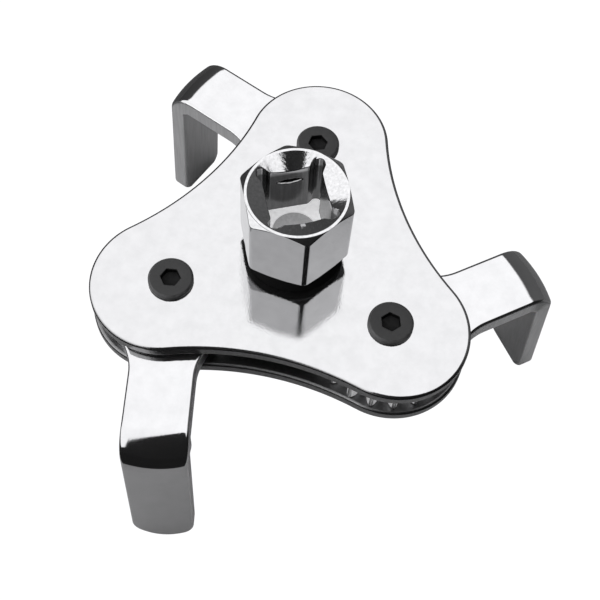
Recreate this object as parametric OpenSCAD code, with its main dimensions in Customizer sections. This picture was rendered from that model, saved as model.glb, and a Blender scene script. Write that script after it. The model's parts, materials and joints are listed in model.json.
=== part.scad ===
// Two-way oil filter wrench: a square-drive spindle turns three geared jaw arms
// between two lobed plates, so that the bent jaws close on a filter canister.
// Origin: on the drive axis at the mouth of the drive socket. +Z points out of it.

/* [Plates] */
// Distance from the drive axis to the centre of each lobe end
lobe_centre_r = 30; // [29:0.5:31]
// Radius of each lobe end
lobe_r = 16.6; // [16:0.1:17.4]
// Distance from the drive axis to the waist between two lobes
waist_r = 27.6; // [26:0.2:28.2]
// Thickness of each plate
plate_t = 3.2; // [2.6:0.1:4]

/* [Drive spindle] */
// Hex head, across flats
hex_af = 22.2; // [22:0.1:23]
// Height of the hex head's rim above the top plate
head_h = 22.8; // [20:0.2:26]
// Length of the round neck between the plate and the hex
neck_h = 4; // [3:0.2:6]
// Side of the square drive socket
drive_side = 13; // [12.8:0.1:13.2]
// Depth of the drive socket
drive_depth = 16; // [13:0.5:18]
// Turn of the hex about the drive axis
hex_turn = 52.1; // [0:0.1:60]
// Turn of the square socket about the drive axis
drive_turn = 24.1; // [0:0.1:90]

/* [Gears] */
// Gear module: pitch diameter for each tooth
gear_module = 1.5; // [1.46:0.01:1.52]
// Teeth on the spindle, a multiple of three so that the arms mesh alike
spindle_teeth = 18; // [18]
// Teeth on a full turn of an arm's gear
arm_teeth = 20; // [20]

/* [Jaw arms] */
// Thickness of an arm between the plates
arm_t = 5.2; // [4.4:0.1:6]
// Width of an arm and its jaw
arm_w = 14.6; // [13:0.2:15.4]
// Distance from the pivot to the outer face of the jaw, just below the bend
arm_reach = 39.6; // [38:0.2:44]
// Thickness of the jaw
jaw_t = 4.2; // [3.6:0.1:5]
// Distance from the top of the arm to the tip of the jaw
jaw_drop = 43; // [34:0.5:46]
// Outward lean of the jaw from square to the arm
jaw_lean = 5; // [0:0.5:8]
// Swing of each arm from its lobe's outward direction at rest
rest_swing = 67; // [0:1:110]

/* [Fasteners] */
// Radius of each screw head
screw_head_r = 5.05; // [4.8:0.05:5.6]
// Height of each screw head
screw_head_h = 1.3; // [1.1:0.1:2.2]
// Radius of each screw shank
shank_r = 3; // [2.5:0.1:3.2]
// Outer radius of each pivot sleeve
sleeve_r = 5; // [4.6:0.1:6]

/* [Hidden] */
$fn = 96;
arc_steps = 20;            // chords in each drawn arc
side_play = 0.2;           // gap between an arm and each plate
turn_play = 0.05;          // radial running clearance of every journal
thread_play = 0.02;        // radial gap round a screw's thread
tooth_play = 0.16;         // backlash along the pitch circle
pressure_angle = 20;
flank_steps = 5;           // chords along each tooth flank
bite = 1;                  // how far a cutter runs past the face it opens

lobe_angles = [90, 210, 330];
pivot_r = gear_module * (spindle_teeth + arm_teeth) / 2;
gear_t = arm_t;
gap_t = arm_t + 2 * side_play;

// Heights, all below the rim of the head
plate_top_z = -head_h;
gap_top_z = plate_top_z - plate_t;
gap_low_z = gap_top_z - gap_t;
base_z = gap_low_z - plate_t;
arm_top_z = gap_top_z - side_play;

// Spindle turning
hex_flat_r = hex_af / 2;
hex_edge_r = 12.6;         // the hex corners are turned down to this radius
chamfer_angle = 33;        // slope of the turned ends of the hex
neck_r = 11;
socket_mouth_r = 10.5;     // where the dished entry meets the rim
entry_slope = 25;          // slope of the dished entry below the rim
relief_r = 0.9;            // rounded relief in each corner of the square
relief_reach = 9.2;        // distance from the axis to a relief's centre
drill_r = 4.8;             // dimple left in the floor by the pilot drill
drill_depth = 0.8;
tail_r = 8;                // lower journal, in the bottom plate
detent_r = 5;              // groove in one wall for the drive's detent ball
detent_depth = 0.9;
detent_z = -5.5;

// Arm shape
bend_r = 7;                // outside of the bend from arm to jaw
inner_bend_r = 1.4;
flare_r = 12.5;            // where the arm widens into its gear
tip_corner_r = 3.2;        // rounded lower corners of the jaw
plan_end = 24;             // where the plan shape hands over to the bent strip

// Screws
top_hole_r = shank_r + 0.2;
key_af = 4;
key_depth = 1.4;
screw_chamfer = 0.5;
sleeve_bore_r = shank_r + 0.1;

function polar(r, a) = [r * cos(a), r * sin(a)];
function arc(centre, r, from, to) =
    [for (i = [0 : arc_steps]) centre + polar(r, from + (to - from) * i / arc_steps)];

// Lobed plate outline: convex lobe ends joined by wide concave arcs that touch them.
neck_arc_r = (lobe_centre_r ^ 2 + waist_r ^ 2 - lobe_centre_r * waist_r - lobe_r ^ 2)
             / (lobe_centre_r + 2 * lobe_r - 2 * waist_r);
neck_centre = polar(waist_r + neck_arc_r, 60);
touch_angle = atan2(neck_centre[1], neck_centre[0] - lobe_centre_r);
neck_half = touch_angle - 60;
function plate_points() =
    [for (a = lobe_angles)
        each concat(
            arc(polar(lobe_centre_r, a), lobe_r, a - touch_angle, a + touch_angle),
            [for (i = [1 : arc_steps - 1])
                polar(waist_r + neck_arc_r, a + 60)
                + polar(neck_arc_r, a + 240 + neck_half * (1 - 2 * i / arc_steps))])];

// Spur gear outline with one tooth centred on angle 0.
function involute(r, base) = sqrt(r * r / (base * base) - 1) * 180 / PI - acos(base / r);
function half_tooth(r, pitch, base, teeth) =
    90 / teeth - tooth_play / 4 / pitch * 180 / PI + involute(pitch, base) - involute(r, base);
function gear_points(teeth) =
    let (pitch = gear_module * teeth / 2,
         base = pitch * cos(pressure_angle),
         tip = pitch + gear_module,
         root = pitch - 1.25 * gear_module,
         rises = [for (i = [0 : flank_steps]) base + (tip - base) * i / flank_steps],
         foot = half_tooth(base, pitch, base, teeth))
    [for (t = [0 : teeth - 1])
        let (a = 360 * t / teeth)
        each concat(
            [polar(root, a - foot)],
            [for (r = rises) polar(r, a - half_tooth(r, pitch, base, teeth))],
            [for (i = [flank_steps : -1 : 0])
                polar(rises[i], a + half_tooth(rises[i], pitch, base, teeth))],
            [polar(root, a + foot)])];

module at_lobe(k) {
    rotate(lobe_angles[k]) translate([pivot_r, 0, 0]) children();
}

module plate_blank() {
    linear_extrude(plate_t) polygon(plate_points());
}

module plate(z, centre_r, screw_r) {
    translate([0, 0, z])
        difference() {
            plate_blank();
            translate([0, 0, -bite]) cylinder(r = centre_r, h = plate_t + 2 * bite);
            for (k = [0 : 2])
                at_lobe(k) translate([0, 0, -bite]) cylinder(r = screw_r, h = plate_t + 2 * bite);
        }
}

module top_plate() {
    color("silver") plate(gap_top_z, neck_r + turn_play, top_hole_r);
}

module bottom_plate() {
    color("silver") plate(base_z, tail_r + turn_play, shank_r + thread_play);
}

// The head's turned envelope: sloped ends cut the hex corners back to the rim circle.
module head_envelope() {
    slope_h = (hex_edge_r - hex_flat_r) * tan(chamfer_angle);
    low_z = plate_top_z + neck_h;
    rotate_extrude()
        polygon([[0, 0], [hex_flat_r, 0], [hex_edge_r, -slope_h],
                 [hex_edge_r, low_z + slope_h], [hex_flat_r, low_z], [0, low_z]]);
}

module hex_head() {
    intersection() {
        translate([0, 0, plate_top_z])
            rotate(hex_turn) cylinder(r = hex_flat_r / cos(30), h = head_h, $fn = 6);
        head_envelope();
    }
}

module drive_socket() {
    entry_r = socket_mouth_r + bite / tan(entry_slope);
    entry_depth = socket_mouth_r * tan(entry_slope);
    translate([0, 0, -entry_depth])
        cylinder(r1 = 0, r2 = entry_r, h = entry_depth + bite);
    rotate(drive_turn) {
        translate([-drive_side / 2, -drive_side / 2, -drive_depth])
            cube([drive_side, drive_side, drive_depth]);
        for (a = [45 : 90 : 315])
            rotate(a) translate([relief_reach, 0, -drive_depth])
                cylinder(r = relief_r, h = drive_depth);
        translate([0, drive_side / 2 + detent_depth - detent_r, detent_z])
            rotate_extrude() translate([detent_r - detent_depth, 0]) circle(r = detent_depth);
    }
    translate([0, 0, -drive_depth - drill_depth]) cylinder(r1 = 0, r2 = drill_r, h = drill_depth);
}

module drive_spindle() {
    color("silver")
        difference() {
            union() {
                hex_head();
                translate([0, 0, arm_top_z]) cylinder(r = neck_r, h = neck_h + plate_t + 2 * side_play);
                translate([0, 0, arm_top_z - gear_t])
                    linear_extrude(gear_t) rotate(lobe_angles[0]) polygon(gear_points(spindle_teeth));
                translate([0, 0, base_z]) cylinder(r = tail_r, h = plate_t + 2 * side_play);
            }
            drive_socket();
        }
}

// Plan of the arm's root: two concave flares lead from the gear's rim to the strip.
function root_points() =
    let (tip = gear_module * (arm_teeth / 2 + 1),
         half = arm_w / 2,
         flare_x = sqrt((tip + flare_r) ^ 2 - (half + flare_r) ^ 2),
         flare_a = atan2(half + flare_r, flare_x),
         upper = arc([flare_x, half + flare_r], flare_r, 180 + flare_a, 270))
    concat([[0, 0]], upper, [[plan_end, half], [plan_end, -half]],
           [for (i = [arc_steps : -1 : 0]) [upper[i][0], -upper[i][1]]]);

// Side view of the strip: flat, then bent down into the jaw, whose faces lean outwards.
outer_centre = [arm_reach - bend_r, -bend_r];
tip_outer = arm_reach - bend_r + bend_r / cos(jaw_lean) + (jaw_drop - bend_r) * tan(jaw_lean);
tip_inner = tip_outer - jaw_t / cos(jaw_lean);
inner_centre_z = -arm_t - inner_bend_r;
inner_centre_x = tip_inner - (jaw_drop + inner_centre_z) * tan(jaw_lean) - inner_bend_r / cos(jaw_lean);
function strip_points() =
    concat([[plan_end - bite, 0]],
           arc(outer_centre, bend_r, 90, jaw_lean),
           [[tip_outer, -jaw_drop], [tip_inner, -jaw_drop]],
           arc([inner_centre_x, inner_centre_z], inner_bend_r, jaw_lean, 90),
           [[plan_end - bite, -arm_t]]);

// Front view of the strip: its lower corners are rounded.
function front_points() =
    let (half = arm_w / 2, c = half - tip_corner_r, low = -jaw_drop + tip_corner_r)
    concat([[half, 0], [-half, 0]],
           arc([-c, low], tip_corner_r, 180, 270),
           arc([c, low], tip_corner_r, 270, 360));

module bent_strip() {
    intersection() {
        rotate([90, 0, 0]) translate([0, 0, -arm_w / 2])
            linear_extrude(arm_w) polygon(strip_points());
        rotate([90, 0, 90]) linear_extrude(tip_outer + bite) polygon(front_points());
    }
}

module jaw_arm(k) {
    gear_turn = 180 / arm_teeth + 180 - rest_swing;
    color("silver")
        at_lobe(k) rotate(rest_swing) translate([0, 0, arm_top_z])
            difference() {
                union() {
                    translate([0, 0, -arm_t]) linear_extrude(arm_t)
                        union() {
                            rotate(gear_turn) polygon(gear_points(arm_teeth));
                            polygon(root_points());
                        }
                    bent_strip();
                }
                translate([0, 0, -arm_t - bite])
                    cylinder(r = sleeve_r + turn_play, h = arm_t + 2 * bite);
            }
}

// Bush that holds the plates apart and carries an arm.
module pivot_sleeve(k) {
    color("dimgray")
        at_lobe(k) translate([0, 0, gap_low_z])
            difference() {
                cylinder(r = sleeve_r, h = gap_t);
                translate([0, 0, -bite]) cylinder(r = sleeve_bore_r, h = gap_t + 2 * bite);
            }
}

// Low-head hex socket screw, tapped into the bottom plate.
module pivot_screw(k) {
    color([0.1, 0.1, 0.11])
        at_lobe(k)
            difference() {
                rotate_extrude()
                    polygon([[0, base_z], [shank_r - screw_chamfer, base_z],
                             [shank_r, base_z + screw_chamfer], [shank_r, plate_top_z],
                             [screw_head_r, plate_top_z],
                             [screw_head_r, plate_top_z + screw_head_h - screw_chamfer],
                             [screw_head_r - screw_chamfer, plate_top_z + screw_head_h],
                             [0, plate_top_z + screw_head_h]]);
                translate([0, 0, plate_top_z + screw_head_h - key_depth])
                    cylinder(r = key_af / 2 / cos(30), h = key_depth + bite, $fn = 6);
            }
}

top_plate();
bottom_plate();
drive_spindle();
jaw_arm(0);  // jaw_arm_1
jaw_arm(1);  // jaw_arm_2
jaw_arm(2);  // jaw_arm_3
pivot_sleeve(0);  // pivot_sleeve_1
pivot_sleeve(1);  // pivot_sleeve_2
pivot_sleeve(2);  // pivot_sleeve_3
pivot_screw(0);  // pivot_screw_1
pivot_screw(1);  // pivot_screw_2
pivot_screw(2);  // pivot_screw_3
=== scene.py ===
"""Looks of a two-way, three-jaw oil filter wrench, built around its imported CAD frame.

Every length below is in millimetres, and times MM it is in Blender's metres. Places come from the
frame: the CAD boxes, the joints' pivots and the jaw-tip mounts. All pieces are polished chrome
steel but for the black screws and the plain steel sleeves between the plates.
"""
import json
import math
from collections import namedtuple

import bmesh
import bpy
from mathutils import Matrix, Vector


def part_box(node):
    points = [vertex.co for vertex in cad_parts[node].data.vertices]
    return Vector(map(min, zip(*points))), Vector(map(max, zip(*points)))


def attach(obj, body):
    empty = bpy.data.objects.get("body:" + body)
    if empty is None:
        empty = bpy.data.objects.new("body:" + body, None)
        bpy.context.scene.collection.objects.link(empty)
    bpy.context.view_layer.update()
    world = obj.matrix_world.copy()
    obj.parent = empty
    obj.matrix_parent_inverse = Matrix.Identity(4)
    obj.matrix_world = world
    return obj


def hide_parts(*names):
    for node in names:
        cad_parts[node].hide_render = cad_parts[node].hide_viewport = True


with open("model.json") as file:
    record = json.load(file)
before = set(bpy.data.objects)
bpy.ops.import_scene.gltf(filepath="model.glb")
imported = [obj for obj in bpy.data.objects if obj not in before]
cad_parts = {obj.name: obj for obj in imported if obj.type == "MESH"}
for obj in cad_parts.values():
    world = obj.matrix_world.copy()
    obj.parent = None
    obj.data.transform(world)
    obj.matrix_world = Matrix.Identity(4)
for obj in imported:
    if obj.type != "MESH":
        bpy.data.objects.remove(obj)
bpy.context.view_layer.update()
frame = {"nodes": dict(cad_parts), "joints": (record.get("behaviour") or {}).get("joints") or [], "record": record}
MM = 0.001

# ---------------------------------------------------------------- sizes read from the frame


def box_mm(node):
    """Lowest and highest corner of a CAD node, in millimetres."""
    low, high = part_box(node)
    return low / MM, high / MM


def joint_pivot_mm(name):
    """The pivot of a joint, in millimetres."""
    found = next(j for j in frame["joints"] if j["name"] == name)
    return Vector(found["pos_m"]) / MM


def mount_place_mm(name):
    """The place of a mount, in millimetres."""
    found = next(m for m in frame["record"]["mounts"] if m["name"] == name)
    return Vector(found["pos_m"]) / MM


top_low, top_high = box_mm("top_plate")
bottom_low, bottom_high = box_mm("bottom_plate")
sleeve_low, sleeve_high = box_mm("pivot_sleeve_1")
screw_low, screw_high = box_mm("pivot_screw_1")
PLATE_TOP, GAP_TOP = top_high.z, top_low.z
GAP_LOW, BASE = bottom_high.z, bottom_low.z
RIM_Z = box_mm("drive_spindle")[1].z
SCREW_TOP = screw_high.z
SCREW_HEAD_R = (screw_high.x - screw_low.x) / 2
SLEEVE_R = (sleeve_high.x - sleeve_low.x) / 2
PIVOTS = [joint_pivot_mm(f"arm_{k}_swing") for k in (1, 2, 3)]
LOBE_ANGLES = [math.atan2(p.y, p.x) for p in PIVOTS]

# The plate's outline: three convex lobe ends joined by wide concave waists.
LOBE_REACH = top_high.y
LOBE_CENTRE_R = (LOBE_REACH - top_high.x) / (1 - math.cos(math.pi / 6))
LOBE_R = LOBE_REACH - LOBE_CENTRE_R
WAIST_R = 27.6
PLATE_EDGE_R = 0.8
HOLE_EDGE_R = 0.08
CIRCLE_STEPS = 96
LOBE_STEPS = 72
WAIST_STEPS = 48

# Gears
GEAR_MODULE = 1.5
SPINDLE_TEETH = 18
ARM_TEETH = 20
ARM_GEAR_TIP_R = GEAR_MODULE * (ARM_TEETH / 2 + 1)
ARM_GEAR_ROOT_R = GEAR_MODULE * (ARM_TEETH / 2 - 1.25)
PRESSURE_ANGLE = math.radians(20)
TOOTH_PLAY = 0.16
TIP_THINNING = 0.25         # taken off each flank at the tip of a tooth
GEAR_RECESS = 0.12          # the gear faces lie this far below the faces of the bar

# Spindle
HEX_FLAT_R = 11.1
HEX_CORNER_ROUND = 1.5
RIM_SLOPE = math.tan(math.radians(33))
HEX_LOW_SLOPE = 0.5
NECK_R = 11.2
NECK_H = 4.0
TAIL_R = 8.0
MOUTH_R = 10.5
ENTRY_SLOPE = math.tan(math.radians(25))
SQUARE_HALF = 6.5
RELIEF_R = 0.9
RELIEF_REACH = 9.2
DRIVE_DEPTH = 16.0
DRILL_R = 4.8
DRILL_DEPTH = 0.8
DETENT_Z = -5.5
DETENT_HALF_W = 3.1
DETENT_HALF_H = 0.75
DETENT_DEPTH = 1.4
HEX_TURN = math.radians(52.1)
DRIVE_TURN = math.radians(24.1)
ROUND_STEPS = 288           # even directions round the spindle, and closer ones in radians
HEX_CORNER_STEP = 0.006
RELIEF_STEP = 0.009

# Arms
ARM_TOP = box_mm("jaw_arm_1")[1].z
JAW_TIP = box_mm("jaw_arm_1")[0].z
ARM_T = 5.2
ARM_W = 14.6
JAW_T = 4.2
BEND_R = 7.0
INNER_BEND_R = 1.4
FLARE_R = 12.5
TIP_CORNER_R = 3.6
JAW_CROWN = 1.0             # how far the middle of the jaw's outer face stands out
BEND_SWELL = 0.4            # metal squeezed out to each side at the inside of the bend
JAW_LEAN = math.radians(5)  # outward lean of a jaw in the CAD
BAR_EDGE_R = 0.8
BENT_LEANS = [math.radians(a) for a in (2.2, 6.4, 6.4)]     # each jaw as it was bent
BAR_TURNS = [math.radians(a) for a in (-1.4, 1.6, -0.3)]    # each bar against its own gear teeth

# Screws
SHANK_R = 3.0
TOP_HOLE_R = 3.2
KEY_HALF = 2.0
KEY_DEPTH = 1.4
RUNNING_PLAY = 0.05

# ---------------------------------------------------------------- mesh tools


def finish_piece(bm, name, body, nodes, material, centre=(0, 0, 0), turn=0.0):
    """Turns a bmesh in millimetres into a shown piece that rides on a body and stands for CAD nodes."""
    bmesh.ops.remove_doubles(bm, verts=bm.verts, dist=1e-5)
    bmesh.ops.recalc_face_normals(bm, faces=bm.faces)
    for face in bm.faces:
        face.smooth = True
    bmesh.ops.scale(bm, vec=(MM, MM, MM), verts=bm.verts)
    mesh = bpy.data.meshes.new(name)
    bm.to_mesh(mesh)
    bm.free()
    mesh.materials.append(material)
    piece = bpy.data.objects.new(name, mesh)
    bpy.context.scene.collection.objects.link(piece)
    piece.matrix_world = Matrix.Translation(Vector(centre) * MM) @ Matrix.Rotation(turn, 4, "Z")
    weights = piece.modifiers.new("flat_faces_lead", "WEIGHTED_NORMAL")
    weights.mode = "FACE_AREA"
    weights.weight = 100
    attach(piece, body)
    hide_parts(*nodes)
    return piece


def join_rings(bm, lower, upper):
    """Quads between two closed rings with the same number of vertices."""
    count = len(lower)
    for i in range(count):
        j = (i + 1) % count
        bm.faces.new((lower[i], lower[j], upper[j], upper[i]))


def ring(bm, points):
    """New vertices at the points."""
    return [bm.verts.new(p) for p in points]


def close_with_fan(bm, rim, centre):
    """Triangles from a closed ring to one centre point."""
    hub = bm.verts.new(centre)
    for i in range(len(rim)):
        bm.faces.new((rim[i], rim[(i + 1) % len(rim)], hub))


def round_corners(points, radii, steps):
    """A 2D polyline with a true arc of the given radius, or as much as fits, at each inner point."""
    out = [points[0]]
    for i in range(1, len(points) - 1):
        before, corner, after = points[i - 1], points[i], points[i + 1]
        back, ahead = before - corner, after - corner
        if radii[i - 1] == 0:
            out.append(corner)
            continue
        length_in, length_out = max(back.length, 1e-6), max(ahead.length, 1e-6)
        cos_full = max(-1.0, min(1.0, back.dot(ahead) / (length_in * length_out)))
        half = math.acos(cos_full) / 2
        reach = radii[i - 1] / max(math.tan(half), 1e-4)
        reach = min(reach, 0.45 * length_in, 0.45 * length_out)
        start = corner + back * (reach / length_in)
        end = corner + ahead * (reach / length_out)
        weight = math.sin(half)
        for s in range(steps + 1):
            t = s / steps
            a, b, c = (1 - t) ** 2, 2 * weight * t * (1 - t), t * t
            out.append((start * a + corner * b + end * c) / (a + b + c))
    out.append(points[-1])
    return out


def polar_solid(angles, profile_at):
    """A closed solid round the Z axis: profile_at(angle) gives (radius, height) rows, axis to axis."""
    bm = bmesh.new()
    columns = [profile_at(a) for a in angles]
    rows = list(zip(*columns))
    rings = []
    for row in rows[1:-1]:
        rings.append(ring(bm, [(p.x * math.cos(a), p.x * math.sin(a), p.y)
                               for a, p in zip(angles, row)]))
    for lower, upper in zip(rings, rings[1:]):
        join_rings(bm, lower, upper)
    close_with_fan(bm, rings[0], (0, 0, rows[0][0].y))
    close_with_fan(bm, rings[-1], (0, 0, rows[-1][0].y))
    return bm


def outline_normals(points):
    """Outward unit normals, by mitre, of a closed anticlockwise outline."""
    normals = []
    count = len(points)
    for i in range(count):
        before = (points[i] - points[i - 1]).normalized()
        after = (points[(i + 1) % count] - points[i]).normalized()
        n = Vector((before.y, -before.x)) + Vector((after.y, -after.x))
        n.normalize()
        stretch = max(0.5, n.dot(Vector((before.y, -before.x))))
        normals.append(n / stretch)
    return normals


def slab(outline, holes, low, high, edge_r, hole_edge_r, steps=6):
    """A flat plate with round holes and rounded edges, from z low to z high."""
    bm = bmesh.new()
    loops = [(outline, outline_normals(outline), edge_r)]
    for centre, radius in holes:
        circle = arc(centre, radius, 0.0, 2 * math.pi, CIRCLE_STEPS)[:-1]
        loops.append((circle, [(centre - p).normalized() for p in circle], hole_edge_r))
    low_edges, high_edges = [], []
    for points, normals, edge in loops:
        turns = [math.pi / 2 * s / steps for s in range(steps + 1)]
        levels = [(edge * (1 - math.sin(t)), low + edge * (1 - math.cos(t))) for t in turns]
        levels += [(edge * (1 - math.cos(t)), high - edge * (1 - math.sin(t))) for t in turns]
        rings = []
        for inset, z in levels:
            rings.append(ring(bm, [(p - n * inset).to_3d() + Vector((0, 0, z))
                                   for p, n in zip(points, normals)]))
        for lower, upper in zip(rings, rings[1:]):
            join_rings(bm, lower, upper)
        for target, loop in ((low_edges, rings[0]), (high_edges, rings[-1])):
            target += [bm.edges.get((loop[i - 1], loop[i])) for i in range(len(loop))]
    for edges in (low_edges, high_edges):
        bmesh.ops.triangle_fill(bm, use_beauty=True, use_dissolve=False, edges=edges)
    return bm


def polar(radius, angle):
    """A 2D point at a radius and an angle in radians."""
    return Vector((radius * math.cos(angle), radius * math.sin(angle)))


def arc(centre, radius, start, end, steps):
    """Points of an arc, both ends included."""
    return [centre + polar(radius, start + (end - start) * i / steps) for i in range(steps + 1)]


# ---------------------------------------------------------------- outlines


def plate_outline():
    """The lobed outline, from the lobe arcs and the wide arcs that touch them."""
    waist_arc_r = ((LOBE_CENTRE_R ** 2 + WAIST_R ** 2 - LOBE_CENTRE_R * WAIST_R - LOBE_R ** 2)
                   / (LOBE_CENTRE_R + 2 * LOBE_R - 2 * WAIST_R))
    reach = WAIST_R + waist_arc_r
    sixth = math.pi / 3
    first = polar(reach, sixth) - Vector((LOBE_CENTRE_R, 0))
    touch = math.atan2(first.y, first.x)
    half = touch - sixth
    points = []
    for a in LOBE_ANGLES:
        points += arc(polar(LOBE_CENTRE_R, a), LOBE_R, a - touch, a + touch, LOBE_STEPS)
        points += arc(polar(reach, a + sixth), waist_arc_r,
                      a + sixth + math.pi + half, a + sixth + math.pi - half, WAIST_STEPS)[1:-1]
    return points


def gear_outline(teeth, turn):
    """A spur gear outline of involute teeth, one of them centred on the turn angle."""
    pitch = GEAR_MODULE * teeth / 2
    base = pitch * math.cos(PRESSURE_ANGLE)
    tip = pitch + GEAR_MODULE
    root = pitch - 1.25 * GEAR_MODULE
    steps = 7

    def involute(r):
        return math.sqrt(max(r * r / base ** 2 - 1, 0)) - math.acos(min(base / r, 1))

    def half_tooth(r):
        thinned = TIP_THINNING * max((r - pitch) / GEAR_MODULE, 0.0) ** 2
        return (math.pi / 2 / teeth - TOOTH_PLAY / 4 / pitch + involute(pitch) - involute(r)
                - thinned / r)

    rises = [base + (tip - base) * i / steps for i in range(steps + 1)]
    points = []
    for t in range(teeth):
        a = turn + 2 * math.pi * t / teeth
        points.append(polar(root, a - half_tooth(base)))
        points += [polar(r, a - half_tooth(r)) for r in rises]
        points += [polar(r, a + half_tooth(r)) for r in reversed(rises)]
        points.append(polar(root, a + half_tooth(base)))
        points.append(polar(root, a + math.pi / teeth))
    return points


# ---------------------------------------------------------------- materials


# Sizes of the marks in the plating: noise cells per metre, and bump heights in micrometres
CLOUD_SCALE, MOTTLE_SCALE, SCRATCH_SCALE = 90.0, 260.0, 900.0
STREAK_SCALE, GRIT_SCALE = 1500.0, 2900.0
CLOUD_HEIGHT, STREAK_HEIGHT = 2.0, 20.0
FILM_ROUGH = 0.45


class Nodes:
    """A short way to build a node tree: each call makes one node and returns its main output."""

    def __init__(self, tree):
        self.tree = tree
        tree.nodes.clear()

    def make(self, kind, inputs=(), **settings):
        node = self.tree.nodes.new(kind)
        for key, value in settings.items():
            setattr(node, key, value)
        for key, value in dict(inputs).items():
            if isinstance(value, bpy.types.NodeSocket):
                self.tree.links.new(value, node.inputs[key])
            else:
                node.inputs[key].default_value = value
        return node

    def math(self, operation, a, b=0.0, clamp=False):
        return self.make("ShaderNodeMath", {0: a, 1: b}, operation=operation,
                         use_clamp=clamp).outputs[0]

    def noise(self, vector, scale, detail=4.0, roughness=0.5):
        return self.make("ShaderNodeTexNoise", {"Vector": vector, "Scale": scale, "Detail": detail,
                                                "Roughness": roughness}).outputs[0]

    def span(self, value, from_low, from_high, to_low, to_high):
        return self.make("ShaderNodeMapRange", {"Value": value, "From Min": from_low,
                                                "From Max": from_high, "To Min": to_low,
                                                "To Max": to_high}).outputs[0]

    def smooth(self, value, from_low, from_high, to_low=0.0, to_high=1.0):
        return self.make("ShaderNodeMapRange", {"Value": value, "From Min": from_low,
                                                "From Max": from_high, "To Min": to_low,
                                                "To Max": to_high},
                         interpolation_type="SMOOTHSTEP").outputs[0]

    def fade(self, value, start, end):
        return self.smooth(value, start, end, 1.0, 0.0)

    def both(self, *masks):
        shared = masks[0]
        for mask in masks[1:]:
            shared = self.math("MULTIPLY", shared, mask)
        return shared

    def radius(self, x, y):
        squares = self.math("ADD", self.math("MULTIPLY", x, x), self.math("MULTIPLY", y, y))
        return self.math("SQRT", squares)

    def mix(self, factor, a, b):
        return self.make("ShaderNodeMix", {0: factor, 6: a, 7: b}, data_type="RGBA").outputs[2]

    def stretched(self, vector, scale):
        return self.make("ShaderNodeMapping", {"Vector": vector, "Scale": scale}).outputs[0]

    def lerp(self, factor, a, b):
        return self.make("ShaderNodeMix", {0: factor, 2: a, 3: b}).outputs[0]

    def parts(self, vector):
        return list(self.make("ShaderNodeSeparateXYZ", {0: vector}).outputs)

    def object_normal(self):
        return self.make("ShaderNodeTexCoord").outputs["Normal"]


def new_material(name):
    """An empty node material and its node builder."""
    material = bpy.data.materials.new(name)
    material.use_nodes = True
    return material, Nodes(material.node_tree)


def grey(value):
    """An opaque neutral colour."""
    return (value, value, value * 1.01, 1.0)


# An area laid over a chromed piece, mostly painted shade and painted light: where it is, its tint and roughness,
# how metallic it is, and the light it adds in place of light that the studio does not send into narrow gaps.
Zone = namedtuple("Zone", "mask tint rough metal glow", defaults=(1.0, 0.0))


def chrome(name, tint, rough, grain, haze, scratch_scale, zones):
    """Polished chrome: patchy polish, a grain in the plating, faint scratches and a thin haze.

    The zones, mostly painted shade and painted light, are laid over it in turn, each with tool streaks in its tint
    and bump.
    """
    material, n = new_material(name)
    place = n.make("ShaderNodeTexCoord").outputs["Object"]
    clouds = n.noise(place, CLOUD_SCALE, 3.0)
    grit = n.noise(place, GRIT_SCALE, 2.5, 0.55)
    mottle = n.noise(place, MOTTLE_SCALE, 5.0, 0.6)
    scratches = n.noise(n.stretched(place, scratch_scale), SCRATCH_SCALE, 2.0, 0.7)
    streaks = n.noise(n.stretched(place, (1.0, 1.0, 0.06)), STREAK_SCALE, 3.0, 0.6)
    polish = n.span(clouds, 0.3, 0.7, rough * 0.75, rough * 1.35)
    marks = n.span(scratches, 0.62, 0.75, 0.0, 0.05)
    roughness = n.math("ADD", polish, marks)
    colour = n.mix(n.span(mottle, 0.35, 0.65, 0.0, 1.0), grey(tint * 0.96), grey(tint * 1.03))
    zone_cover, metallic, glow = 0.0, 1.0, 0.0
    for zone in zones(n, place):
        shade = n.mix(streaks, grey(zone.tint * 0.7), grey(zone.tint * 1.3))
        colour = n.mix(zone.mask, colour, shade)
        roughness = n.lerp(zone.mask, roughness, zone.rough)
        metallic = n.lerp(zone.mask, metallic, zone.metal)
        glow = n.lerp(zone.mask, glow, zone.glow)
        # The cover of every zone, painted shade and painted light included; the coarse streak bump goes over it.
        zone_cover = n.math("MAXIMUM", zone_cover, zone.mask)
    fine = n.math("MULTIPLY", grit, grain)
    coarse = n.math("MULTIPLY", n.both(streaks, zone_cover), STREAK_HEIGHT)
    waves = n.math("MULTIPLY", clouds, CLOUD_HEIGHT)
    height = n.math("ADD", n.math("ADD", fine, waves), coarse)
    bump = n.make("ShaderNodeBump", {"Strength": 1.0, "Distance": 1.0e-6, "Height": height})
    surface = {"Base Color": colour, "Metallic": metallic, "Normal": bump.outputs[0],
               "Specular IOR Level": n.math("MULTIPLY", metallic, 0.5)}
    # The zones' glow is painted light given off by the surface.
    light = {"Emission Color": colour, "Emission Strength": glow}
    metal = n.make("ShaderNodeBsdfPrincipled", {**surface, **light, "Roughness": roughness})
    film = n.make("ShaderNodeBsdfPrincipled", {**surface, "Roughness": FILM_ROUGH})
    blend = n.make("ShaderNodeMixShader", {0: haze, 1: metal.outputs[0], 2: film.outputs[0]})
    n.make("ShaderNodeOutputMaterial", {"Surface": blend.outputs[0]})
    return material


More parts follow.
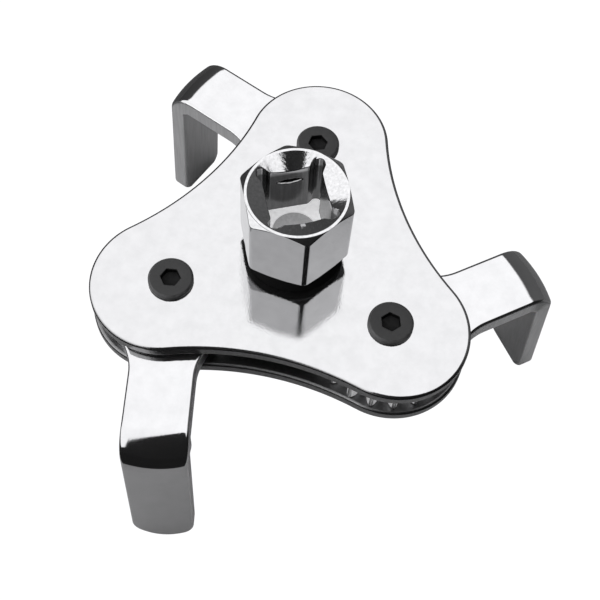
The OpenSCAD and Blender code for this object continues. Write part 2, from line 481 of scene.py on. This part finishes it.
def plate_zones(n, place):
    """Painted shade on the faces that look into the gap, and a darker, rougher band on the sheared edge all round
    a plate, its darker tint painted shade over the rounded edge's reflection.
    """
    upright = n.math("ABSOLUTE", n.parts(n.object_normal())[2])
    z = n.parts(place)[2]
    gap = n.both(n.smooth(z, (BASE + 1.0) * MM, (BASE + 1.4) * MM),
                 n.fade(z, (GAP_TOP + 0.3) * MM, (GAP_TOP + 0.5) * MM))
    # Painted shade: a dark tint in the gap between the plates, and a darker tint on the edges over their
    # reflection, with the sheared edges rougher.
    return [Zone(gap, 0.16, 0.35), Zone(n.fade(upright, 0.7, 0.96), 0.24, 0.25)]


def arm_zones(n, place):
    """The jaw's duller inner face, the sheared sides of the bar, and a painted highlight on the tooth flanks,
    which glow.
    """
    ahead, across, _ = n.parts(n.object_normal())
    x, y, _ = n.parts(place)
    radius = n.radius(x, y)
    turning = n.math("SUBTRACT", n.math("MULTIPLY", x, across), n.math("MULTIPLY", y, ahead))
    facing = n.math("ABSOLUTE", n.math("DIVIDE", turning, radius))
    toothed = n.both(n.smooth(radius, ARM_GEAR_ROOT_R * MM, (ARM_GEAR_ROOT_R + 0.4) * MM),
                     n.fade(radius, (ARM_GEAR_TIP_R + 0.1) * MM, (ARM_GEAR_TIP_R + 0.3) * MM))
    return [Zone(n.fade(ahead, -0.9, -0.6), 0.44, 0.2),
            Zone(n.smooth(n.math("ABSOLUTE", across), 0.6, 0.9), 0.70, 0.3),
            # Painted highlight: the tooth flanks get a pale tint and a glow.
            Zone(n.both(toothed, n.smooth(facing, 0.6, 0.8)), 0.9, 0.3, 1.0, 0.35)]


def spindle_zones(n, place):
    """Painted light and shade on the spindle: a painted highlight at the mouth, painted dark lines at the rim's
    edges, painted shade on the socket walls, in the detent groove and on the neck and all below it, and a glowing
    socket floor and dimple.
    """
    x, y, z = n.parts(place)
    radius = n.radius(x, y)
    upward = n.parts(n.object_normal())[2]
    # Painted highlight: the upward faces at the top of the spindle get a brighter tint than the hex flats.
    mouth = n.both(n.smooth(upward, 0.5, 0.7), n.smooth(z, (RIM_Z - 5.0) * MM, (RIM_Z - 4.0) * MM))
    # Painted shade: thin dark lines on the rim's chamfer and rounding, picked out by the direction of the face.
    crest = n.both(n.smooth(upward, 0.05, 0.2), n.fade(upward, 0.6, 0.75))
    lip = n.both(n.smooth(upward, 0.87, 0.9), n.fade(upward, 0.96, 0.98))
    outside = n.smooth(radius, (MOUTH_R + 0.2) * MM, (MOUTH_R + 0.3) * MM)
    high = n.smooth(z, (RIM_Z - 8.0) * MM, (RIM_Z - 7.0) * MM)
    lines = n.both(n.math("ADD", crest, lip), outside, high)
    within = n.fade(radius, (MOUTH_R - 0.2) * MM, (MOUTH_R + 0.1) * MM)
    inside = n.both(within, n.fade(z, (RIM_Z - 3.2) * MM, (RIM_Z - 2.2) * MM))
    level = n.smooth(upward, 0.4, 0.7)
    # Painted shade: the walls of the drive socket get a dark tint.
    walls = n.both(inside, n.math("SUBTRACT", 1.0, level))
    # Painted light: the socket floor glows, and its drill dimple glows less.
    floor = n.both(inside, level)
    dimple = n.both(floor, n.fade(radius, DRILL_R * MM, (DRILL_R + 0.3) * MM))
    # Painted shade: the detent groove in one wall of the square is near black and not metallic.
    squared = n.make("ShaderNodeMapping", {"Vector": place, "Rotation": (0, 0, -DRIVE_TURN)})
    across, ahead, _ = n.parts(squared.outputs[0])
    sunk = n.smooth(ahead, (SQUARE_HALF + 0.1) * MM, (SQUARE_HALF + 0.3) * MM)
    wide = n.fade(n.math("ABSOLUTE", across),
                  (DETENT_HALF_W + 0.1) * MM, (DETENT_HALF_W + 0.3) * MM)
    # Painted shade: the neck under the hex, and all below it with the gear between the plates, is near black and
    # not metallic.
    neck = n.fade(z, (PLATE_TOP + NECK_H) * MM, (PLATE_TOP + NECK_H + 0.3) * MM)
    return [Zone(mouth, 0.50, 0.05), Zone(lines, 0.05, 0.2), Zone(walls, 0.12, 0.2),
            Zone(floor, 0.80, 0.5, 0.0, 0.65), Zone(dimple, 0.5, 0.45, 0.0, 0.3),
            Zone(n.both(sunk, wide, inside), 0.02, 0.4, 0.0), Zone(neck, 0.012, 0.3, 0.0)]


def black_oxide():
    """Satin black oxide with a slight mottle, a painted highlight round the edge of the head and painted shade
    down in the key socket.
    """
    material, n = new_material("black_oxide")
    place = n.make("ShaderNodeTexCoord").outputs["Object"]
    x, y, z = n.parts(place)
    radius = n.radius(x, y)
    mottle = n.noise(place, 700.0, 4.0)
    # Painted highlight: a lighter ring, broken up by the mottle, round the edge of the head.
    rim = n.smooth(radius, (SCREW_HEAD_R - 0.55) * MM, (SCREW_HEAD_R - 0.35) * MM)
    # Painted shade: the key socket is tinted near black and reflects less.
    key = n.both(n.fade(radius, (KEY_HALF + 0.4) * MM, (KEY_HALF + 0.5) * MM),
                 n.fade(z, (SCREW_TOP - 0.25) * MM, (SCREW_TOP - 0.1) * MM))
    coat = n.mix(n.span(mottle, 0.35, 0.65, 0.0, 1.0), grey(0.026), grey(0.036))
    coat_with_rim_highlight = n.mix(n.math("MULTIPLY", rim, mottle), coat, grey(0.12))
    colour = n.mix(key, coat_with_rim_highlight, grey(0.008))
    bump = n.make("ShaderNodeBump", {"Strength": 0.3, "Distance": 1.0e-5, "Height": mottle})
    shell = n.make("ShaderNodeBsdfPrincipled", {
        "Base Color": colour, "Metallic": 0.15,
        # The weaker reflection in the key socket is painted shade.
        "Specular IOR Level": n.lerp(key, 0.35, 0.1),
        "Roughness": n.span(mottle, 0.3, 0.7, 0.42, 0.55), "Normal": bump.outputs[0]})
    n.make("ShaderNodeOutputMaterial", {"Surface": shell.outputs[0]})
    return material


def turned_steel():
    """Plain turned steel with fine rings and a film of oil."""
    material, n = new_material("turned_steel")
    place = n.make("ShaderNodeTexCoord").outputs["Object"]
    rings = n.noise(n.stretched(place, (1.0, 1.0, 40.0)), 300.0, 2.0)
    bump = n.make("ShaderNodeBump", {"Strength": 0.3, "Distance": 1.0e-5, "Height": rings})
    colour = n.mix(rings, grey(0.30), grey(0.45))
    shell = n.make("ShaderNodeBsdfPrincipled", {
        "Base Color": colour, "Metallic": 1.0,
        "Roughness": n.span(rings, 0.3, 0.7, 0.28, 0.42), "Normal": bump.outputs[0]})
    n.make("ShaderNodeOutputMaterial", {"Surface": shell.outputs[0]})
    return material


plate_chrome = chrome("plate_chrome", 0.475, 0.035, 11.0, 0.03, (1.0, 9.0, 1.0), plate_zones)
spindle_chrome = chrome("spindle_chrome", 0.39, 0.05, 2.0, 0.03, (1.0, 1.0, 7.0), spindle_zones)
arm_chrome = chrome("arm_chrome", 0.505, 0.05, 4.0, 0.015, (6.0, 1.0, 1.0), arm_zones)
screw_black = black_oxide()
sleeve_steel = turned_steel()

# ---------------------------------------------------------------- plates


def build_plates():
    """Both lobed plates, with their edges rounded over."""
    outline = plate_outline()
    centres = [p.xy for p in PIVOTS]
    for node, low, high, middle_r, screw_r in (
            ("top_plate", GAP_TOP, PLATE_TOP, NECK_R + RUNNING_PLAY, TOP_HOLE_R),
            ("bottom_plate", BASE, GAP_LOW, TAIL_R + RUNNING_PLAY, SHANK_R + RUNNING_PLAY / 2)):
        holes = [(Vector((0, 0)), middle_r)] + [(c, screw_r) for c in centres]
        bm = slab(outline, holes, low, high, PLATE_EDGE_R, HOLE_EDGE_R)
        finish_piece(bm, node + "_shell", "plates", [node], plate_chrome)


# ---------------------------------------------------------------- spindle


def hex_radius(angle, flat_r, corner_r):
    """Radius of a hexagon with rounded corners, in the direction of the angle from a corner."""
    sixth = math.pi / 3
    off = (angle + sixth / 2) % sixth - sixth / 2
    centre = (flat_r - corner_r) / math.cos(sixth / 2)
    touch = math.atan2(corner_r * math.sin(sixth / 2), centre + corner_r * math.cos(sixth / 2))
    if abs(off) < touch:
        return centre * math.cos(off) + math.sqrt(corner_r ** 2 - (centre * math.sin(off)) ** 2)
    return flat_r / math.cos(sixth / 2 - abs(off))


def smooth_max(a, b, width):
    """The larger of two values, blended where they are within the width of each other."""
    h = max(width - abs(a - b), 0.0) / width
    return max(a, b) + h * h * width / 4


def square_radius(angle):
    """Radius of the drive square, whose corners open into rounded reliefs."""
    quarter = math.pi / 2
    off = (angle - DRIVE_TURN) % quarter - quarter / 2
    flat = SQUARE_HALF / math.cos(quarter / 2 - abs(off))
    swing = abs(off) * RELIEF_REACH / RELIEF_R
    relief = RELIEF_REACH + RELIEF_R * math.cos(min(swing, 1.35))
    relief -= 3.0 * max(swing - 1.35, 0.0)
    return smooth_max(flat, relief, 0.9)


def detent_bite(angle, z):
    """Depth of the lens-shaped detent groove cut in one wall of the square."""
    wall = DRIVE_TURN + math.pi / 2
    off = (angle - wall + math.pi) % (2 * math.pi) - math.pi
    if abs(off) > math.pi / 4:
        return 0.0
    across = SQUARE_HALF * math.tan(off) / DETENT_HALF_W
    up = (z - DETENT_Z) / DETENT_HALF_H
    lens = 1 - across ** 2
    if lens <= 0:
        return 0.0
    inside = 1 - (up / lens) ** 2
    return DETENT_DEPTH * lens * math.sqrt(inside) if inside > 0 else 0.0


def spindle_angles():
    """Directions round the spindle, closer together at the hex corners and the square's reliefs."""
    full = 2 * math.pi
    found = [full * i / ROUND_STEPS for i in range(ROUND_STEPS)]
    for corner in range(6):
        middle = HEX_TURN + corner * full / 6
        found += [(middle + i * HEX_CORNER_STEP) % full for i in range(-12, 13)]
    for corner in range(4):
        middle = DRIVE_TURN + full / 8 + corner * full / 4
        found += [(middle + i * RELIEF_STEP) % full for i in range(-24, 25)]
    kept = []
    for a in sorted(round(direction, 5) for direction in found):
        if not kept or a - kept[-1] > 0.002:
            kept.append(a)
    return kept


def spindle_profile(angle):
    """Rows up the outside of the spindle, over the rim and down into the drive socket."""
    hexagon = hex_radius(angle - HEX_TURN, HEX_FLAT_R, HEX_CORNER_ROUND)
    rim_drop = max(hexagon - HEX_FLAT_R, 0.0) * RIM_SLOPE
    low_rise = max(hexagon - HEX_FLAT_R, 0.0) * HEX_LOW_SLOPE
    low = PLATE_TOP + NECK_H
    square = square_radius(angle)
    entry = RIM_Z - (MOUTH_R - square) * ENTRY_SLOPE
    floor = RIM_Z - DRIVE_DEPTH
    outside = [Vector(p) for p in (
        (0, BASE), (TAIL_R, BASE), (TAIL_R, GAP_LOW), (NECK_R, GAP_LOW), (NECK_R, low - 0.1),
        (HEX_FLAT_R, low), (hexagon, low + low_rise), (hexagon, RIM_Z - rim_drop),
        (HEX_FLAT_R, RIM_Z), (MOUTH_R, RIM_Z), (square, entry), (square, entry - 1.0))]
    rows = round_corners(outside, [0.4, 0, 0, 0.05, 0.05, 0.3, 0.3, 0.35, 0.3, 0.25], 4)
    top, bottom = entry - 1.0, floor + 0.6
    steps = 60
    for i in range(1, steps):
        z = top + (bottom - top) * i / steps
        rows.append(Vector((square + detent_bite(angle, z), z)))
    inside = [Vector(p) for p in (
        (square, bottom), (square, floor), (DRILL_R, floor), (0, floor - DRILL_DEPTH))]
    return rows + round_corners(inside, [0.35, 0.1], 4)


def build_spindle():
    """The turned and milled spindle, and the gear it carries between the plates."""
    finish_piece(polar_solid(spindle_angles(), spindle_profile), "spindle_core", "spindle",
                 ["drive_spindle"], spindle_chrome)
    gear_low, gear_high = ARM_TOP - ARM_T, ARM_TOP
    gear = slab(gear_outline(SPINDLE_TEETH, LOBE_ANGLES[0]), [(Vector((0, 0)), TAIL_R - 1)],
                gear_low, gear_high, 0.25, 0.05, 3)
    finish_piece(gear, "spindle_gear", "spindle", ["drive_spindle"], spindle_chrome)


# ---------------------------------------------------------------- arms


def flare_span():
    """Where the flare leaves the gear and where it ends in the bar, as distances from the pivot."""
    centre_r = ARM_GEAR_TIP_R + FLARE_R
    end = math.sqrt(centre_r ** 2 - (ARM_W / 2 + FLARE_R) ** 2)
    return end * ARM_GEAR_TIP_R / centre_r, end


def bar_half_width(u):
    """Half the arm's width at a distance from the pivot: it flares into the gear."""
    start, end = flare_span()
    flared = min(max(u, start), end)
    half = ARM_W / 2 + FLARE_R - math.sqrt(FLARE_R ** 2 - (end - flared) ** 2)
    return half * min(u / start, 1.0)


def bar_section(outer, inner, half, crown=0.0, swell=0.0):
    """A rounded cross-section between an outer and an inner point of the side view."""
    across = Vector((0, 1, 0))
    up = outer - inner
    thick = up.length
    up = up / thick
    edge = min(BAR_EDGE_R, thick * 0.45, half * 0.45)
    points = []
    for corner, start in enumerate((0.0, 0.5, 1.0, 1.5)):
        side = 1 if corner in (0, 3) else -1
        level = thick - edge if corner in (0, 1) else edge
        for s in range(7):
            t = math.pi * (start + 0.5 * s / 6)
            v = side * (half - edge) + edge * math.cos(t)
            w = level + edge * math.sin(t)
            points.append((v, w))
        if corner == 0:
            points += [((half - edge) * (1 - 2 * s / 12), thick) for s in range(1, 12)]
        if corner == 2:
            points += [((half - edge) * (-1 + 2 * s / 4), 0.0) for s in range(1, 4)]
    lifted = []
    for v, w in points:
        bulge = crown * (1 - (v / half) ** 2) * (w / thick)
        widened = v * (1 + swell / half * (1 - w / thick))
        lifted.append(inner + up * (w + bulge) + across * widened)
    return lifted


def tip_offset(lean):
    """How far the middle of a jaw's tip stands outside its outer face just below the bend."""
    drop = ARM_TOP - JAW_TIP
    straight = BEND_R / math.cos(lean) - BEND_R + (drop - BEND_R) * math.tan(lean)
    return straight - JAW_T / 2 / math.cos(lean)


def bar_sections(reach, lean):
    """Cross-sections from the arm's root, through the bend, to the tip of the jaw."""
    half = ARM_W / 2
    drop = ARM_TOP - JAW_TIP
    tip_u = reach + tip_offset(lean)

    def jaw_section(z, width, shrink):
        middle = tip_u - (drop + z) * math.tan(lean)
        reach_out = JAW_T / 2 / math.cos(lean) - shrink
        return bar_section(Vector((middle + reach_out, 0, z)), Vector((middle - reach_out, 0, z)),
                           width, JAW_CROWN)

    root_u = SLEEVE_R + 4.0
    flare_u, flat_end = flare_span()[0], reach - BEND_R
    flat = [root_u + (flare_u - root_u) * i / 4 for i in range(4)]
    flat += [flare_u + (flat_end - flare_u) * i / 24 for i in range(24)]
    sections = [bar_section(Vector((u, 0, 0)), Vector((u, 0, -ARM_T)), bar_half_width(u))
                for u in flat]
    outer_centre = Vector((reach - BEND_R, 0, -BEND_R))
    inner_z = -ARM_T - INNER_BEND_R
    inner_u = (tip_u - (drop + inner_z) * math.tan(lean)
               - (JAW_T / 2 + INNER_BEND_R) / math.cos(lean))
    for i in range(33):
        share = i / 32
        t = math.pi / 2 - share * (math.pi / 2 - lean)
        away = Vector((math.cos(t), 0, math.sin(t)))
        sections.append(bar_section(outer_centre + away * BEND_R,
                                    Vector((inner_u, 0, inner_z)) + away * INNER_BEND_R, half,
                                    JAW_CROWN * share, BEND_SWELL * math.sin(math.pi * share)))
    straight_high, straight_low = BEND_R + 1.5, drop - TIP_CORNER_R
    for i in range(1, 13):
        sections.append(jaw_section(-straight_high - (straight_low - straight_high) * i / 12,
                                    half, 0.0))
    for i in range(1, 17):
        t = math.pi / 2 * (1 - i / 16)
        from_tip = TIP_CORNER_R * (1 - math.cos(t))
        narrow = half - TIP_CORNER_R + TIP_CORNER_R * math.sin(t)
        pinch = max(1 - from_tip / BAR_EDGE_R, 0.0)
        shrink = BAR_EDGE_R * (1 - math.sqrt(max(1 - pinch ** 2, 0.0)))
        sections.append(jaw_section(from_tip - drop, narrow, shrink))
    return sections


def build_arms():
    """Three arms alike: a toothed eye round the sleeve, and a bar bent down into a jaw."""
    for k, pivot in enumerate(PIVOTS, start=1):
        along = (mount_place_mm(f"jaw_tip_{k}") - pivot).xy
        heading = math.atan2(along.y, along.x)
        node, body = f"jaw_arm_{k}", f"arm_{k}"
        centre = (pivot.x, pivot.y, ARM_TOP)
        bar = bmesh.new()
        rings = [ring(bar, section) for section
                 in bar_sections(along.length - tip_offset(JAW_LEAN), BENT_LEANS[k - 1])]
        for lower, upper in zip(rings, rings[1:]):
            join_rings(bar, lower, upper)
        bar.faces.new(rings[0])
        bar.faces.new(rings[-1])
        finish_piece(bar, node + "_bar", body, [node], arm_chrome, centre,
                     heading + BAR_TURNS[k - 1])
        tooth_gap = LOBE_ANGLES[k - 1] + math.pi - heading
        eye = slab(gear_outline(ARM_TEETH, tooth_gap + math.pi / ARM_TEETH),
                   [(Vector((0, 0)), SLEEVE_R + RUNNING_PLAY)],
                   GEAR_RECESS - ARM_T, -GEAR_RECESS, 0.25, 0.2, 3)
        finish_piece(eye, node + "_gear", body, [node], arm_chrome, centre, heading)


# ---------------------------------------------------------------- screws and sleeves


def screw_profile(angle):
    """Rows up a low-head screw and down into its hex key socket."""
    key = hex_radius(angle, KEY_HALF, 0.1)
    floor = SCREW_TOP - KEY_DEPTH
    rows = [Vector(p) for p in (
        (0, BASE), (SHANK_R - 0.5, BASE), (SHANK_R, BASE + 0.5), (SHANK_R, PLATE_TOP),
        (SCREW_HEAD_R, PLATE_TOP), (SCREW_HEAD_R, SCREW_TOP - 0.45),
        (SCREW_HEAD_R - 0.45, SCREW_TOP), (key + 0.12, SCREW_TOP), (key, SCREW_TOP - 0.12),
        (key, floor), (0, floor - 0.5))]
    return round_corners(rows, [0, 0, 0.1, 0.1, 0.25, 0.25, 0.05, 0.05, 0.15], 4)


def build_screws():
    """Three black low-head screws, each turned a little differently, as they were tightened."""
    turns = (0.35, 0.12, 0.78)
    for k, (pivot, turn) in enumerate(zip(PIVOTS, turns), start=1):
        bm = polar_solid([2 * math.pi * i / 144 for i in range(144)], screw_profile)
        finish_piece(bm, f"pivot_screw_{k}_shell", "plates", [f"pivot_screw_{k}"], screw_black,
                     (pivot.x, pivot.y, 0), turn)


def dress_sleeves():
    """The sleeves keep their exact CAD shape and get turned steel."""
    for k in (1, 2, 3):
        node = frame["nodes"][f"pivot_sleeve_{k}"]
        node.data.materials.clear()
        node.data.materials.append(sleeve_steel)


# ---------------------------------------------------------------- studio

VIEW_AZIMUTH = math.radians(7.03)
VIEW_ELEVATION = math.radians(62.62)
VIEW_ROLL = math.radians(5.16)
VIEW_DISTANCE = 244.84
VIEW_AIM = Vector((2.58, -13.25, PLATE_TOP))
LENS = 66.73
SENSOR = 36.0
LIGHT_AZIMUTH = math.radians(8.8)

# The sky, by the height of a direction: 0 at the horizon, 1 overhead
DOME_LEFT, DOME_RIGHT, DOME_HIGHEST = -0.09, 1.39, 0.82     # where the lit dome begins
DOME_BACK_LIFT = 0.9
WEDGE_MIDDLE, WEDGE_HALF, WEDGE_SOFT = 0.22, 0.60, 0.08     # the dark wedge, as x over radius
LIT, DARK_FRONT, DARK_BACK_LEFT, DARK_BACK_RIGHT = 1.75, 0.02, 0.06, 0.16

# The floor, and how bright polished metal sees it near the drive axis and far from it
FLOOR_HALF = 4000.0
NEAR_FLOOR_R, FAR_FLOOR_R = 80.0, 88.0
NEAR_FLOOR, FAR_FRONT, FAR_BACK_LEFT, FAR_BACK_RIGHT = 0.42, 0.02, 0.10, 0.22


def build_camera():
    """A long lens that looks down on the tool as it stands on its jaws."""
    turn = Matrix.Rotation(VIEW_AZIMUTH, 3, "Z")
    back = turn @ Vector((0, -math.cos(VIEW_ELEVATION), math.sin(VIEW_ELEVATION)))
    right = turn @ Vector((1, 0, 0))
    up = back.cross(right)
    roll_right = right * math.cos(VIEW_ROLL) + up * math.sin(VIEW_ROLL)
    roll_up = up * math.cos(VIEW_ROLL) - right * math.sin(VIEW_ROLL)
    aim = turn @ VIEW_AIM
    data = bpy.data.cameras.new("studio_camera")
    data.lens = LENS
    data.sensor_width = SENSOR
    camera = bpy.data.objects.new("studio_camera", data)
    bpy.context.scene.collection.objects.link(camera)
    basis = Matrix((roll_right, roll_up, back)).transposed().to_4x4()
    camera.matrix_world = Matrix.Translation((aim + back * VIEW_DISTANCE) * MM) @ basis
    bpy.context.scene.camera = camera


def build_world():
    """Soft white light overhead, lower on the left, with a dark wedge above the camera."""
    world = bpy.data.worlds.new("studio")
    bpy.context.scene.world = world
    world.use_nodes = True
    n = Nodes(world.node_tree)
    direction = n.make("ShaderNodeTexCoord").outputs["Generated"]
    turned = n.make("ShaderNodeMapping", {"Vector": direction, "Rotation": (0, 0, -LIGHT_AZIMUTH)},
                    vector_type="POINT").outputs[0]
    x, y, z = n.parts(turned)
    back_left = n.both(n.math("MAXIMUM", y, 0.0), n.math("MINIMUM", x, 0.0))
    back_rise = n.math("MULTIPLY", back_left, -DOME_BACK_LIFT)
    tilted = n.math("ADD", n.span(x, -1.0, 1.0, DOME_LEFT, DOME_RIGHT), back_rise)
    edge = n.math("MINIMUM", tilted, DOME_HIGHEST)
    dome = n.smooth(n.math("SUBTRACT", z, edge), -0.03, 0.05)
    sideways = n.math("SUBTRACT", n.math("DIVIDE", x, n.radius(x, y)), WEDGE_MIDDLE)
    wedge = n.both(n.fade(n.math("ABSOLUTE", sideways), WEDGE_HALF, WEDGE_HALF + WEDGE_SOFT),
                   n.fade(y, -0.04, 0.0))
    lit = n.both(dome, n.math("SUBTRACT", 1.0, wedge))
    behind = n.span(x, -0.6, 0.6, DARK_BACK_LEFT, DARK_BACK_RIGHT)
    unlit = n.lerp(n.smooth(y, -0.1, 0.3), DARK_FRONT, behind)
    level = n.math("ADD", n.math("MULTIPLY", lit, LIT), unlit)
    seen = n.make("ShaderNodeLightPath").outputs["Is Camera Ray"]
    level = n.lerp(seen, level, 1.0)
    light = n.make("ShaderNodeBackground", {"Color": grey(1.0), "Strength": level})
    n.make("ShaderNodeOutputWorld", {"Surface": light.outputs[0]})


def build_floor():
    """A wide pale floor under the jaw tips. Polished metal sees it a good deal darker."""
    half = FLOOR_HALF * MM
    bm = bmesh.new()
    corners = [(-half, -half), (half, -half), (half, half), (-half, half)]
    bm.faces.new([bm.verts.new((x, y, 0)) for x, y in corners])
    mesh = bpy.data.meshes.new("floor")
    bm.to_mesh(mesh)
    bm.free()
    material, n = new_material("floor")
    x, y, _ = n.parts(n.make("ShaderNodeTexCoord").outputs["Object"])
    behind = n.span(x, -60.0 * MM, 60.0 * MM, FAR_BACK_LEFT, FAR_BACK_RIGHT)
    far = n.lerp(n.smooth(y, -30.0 * MM, 20.0 * MM), FAR_FRONT, behind)
    outside = n.smooth(n.radius(x, y), NEAR_FLOOR_R * MM, FAR_FLOOR_R * MM)
    albedo = n.lerp(outside, NEAR_FLOOR, far)
    lit = n.make("ShaderNodeBsdfDiffuse", {"Color": albedo})
    matte = n.make("ShaderNodeBsdfDiffuse", {"Color": grey(0.9)})
    paper = n.make("ShaderNodeEmission", {"Color": grey(1.0), "Strength": 1.08})
    shown = n.make("ShaderNodeMixShader", {0: 0.93, 1: matte.outputs[0], 2: paper.outputs[0]})
    seen = n.make("ShaderNodeLightPath").outputs["Is Camera Ray"]
    blend = n.make("ShaderNodeMixShader", {0: seen, 1: lit.outputs[0], 2: shown.outputs[0]})
    n.make("ShaderNodeOutputMaterial", {"Surface": blend.outputs[0]})
    mesh.materials.append(material)
    floor = bpy.data.objects.new("floor", mesh)
    floor.location.z = JAW_TIP * MM
    bpy.context.scene.collection.objects.link(floor)


build_plates()
build_spindle()
build_arms()
build_screws()
dress_sleeves()
build_camera()
build_world()
build_floor()
bpy.context.scene.view_settings.view_transform = "Standard"
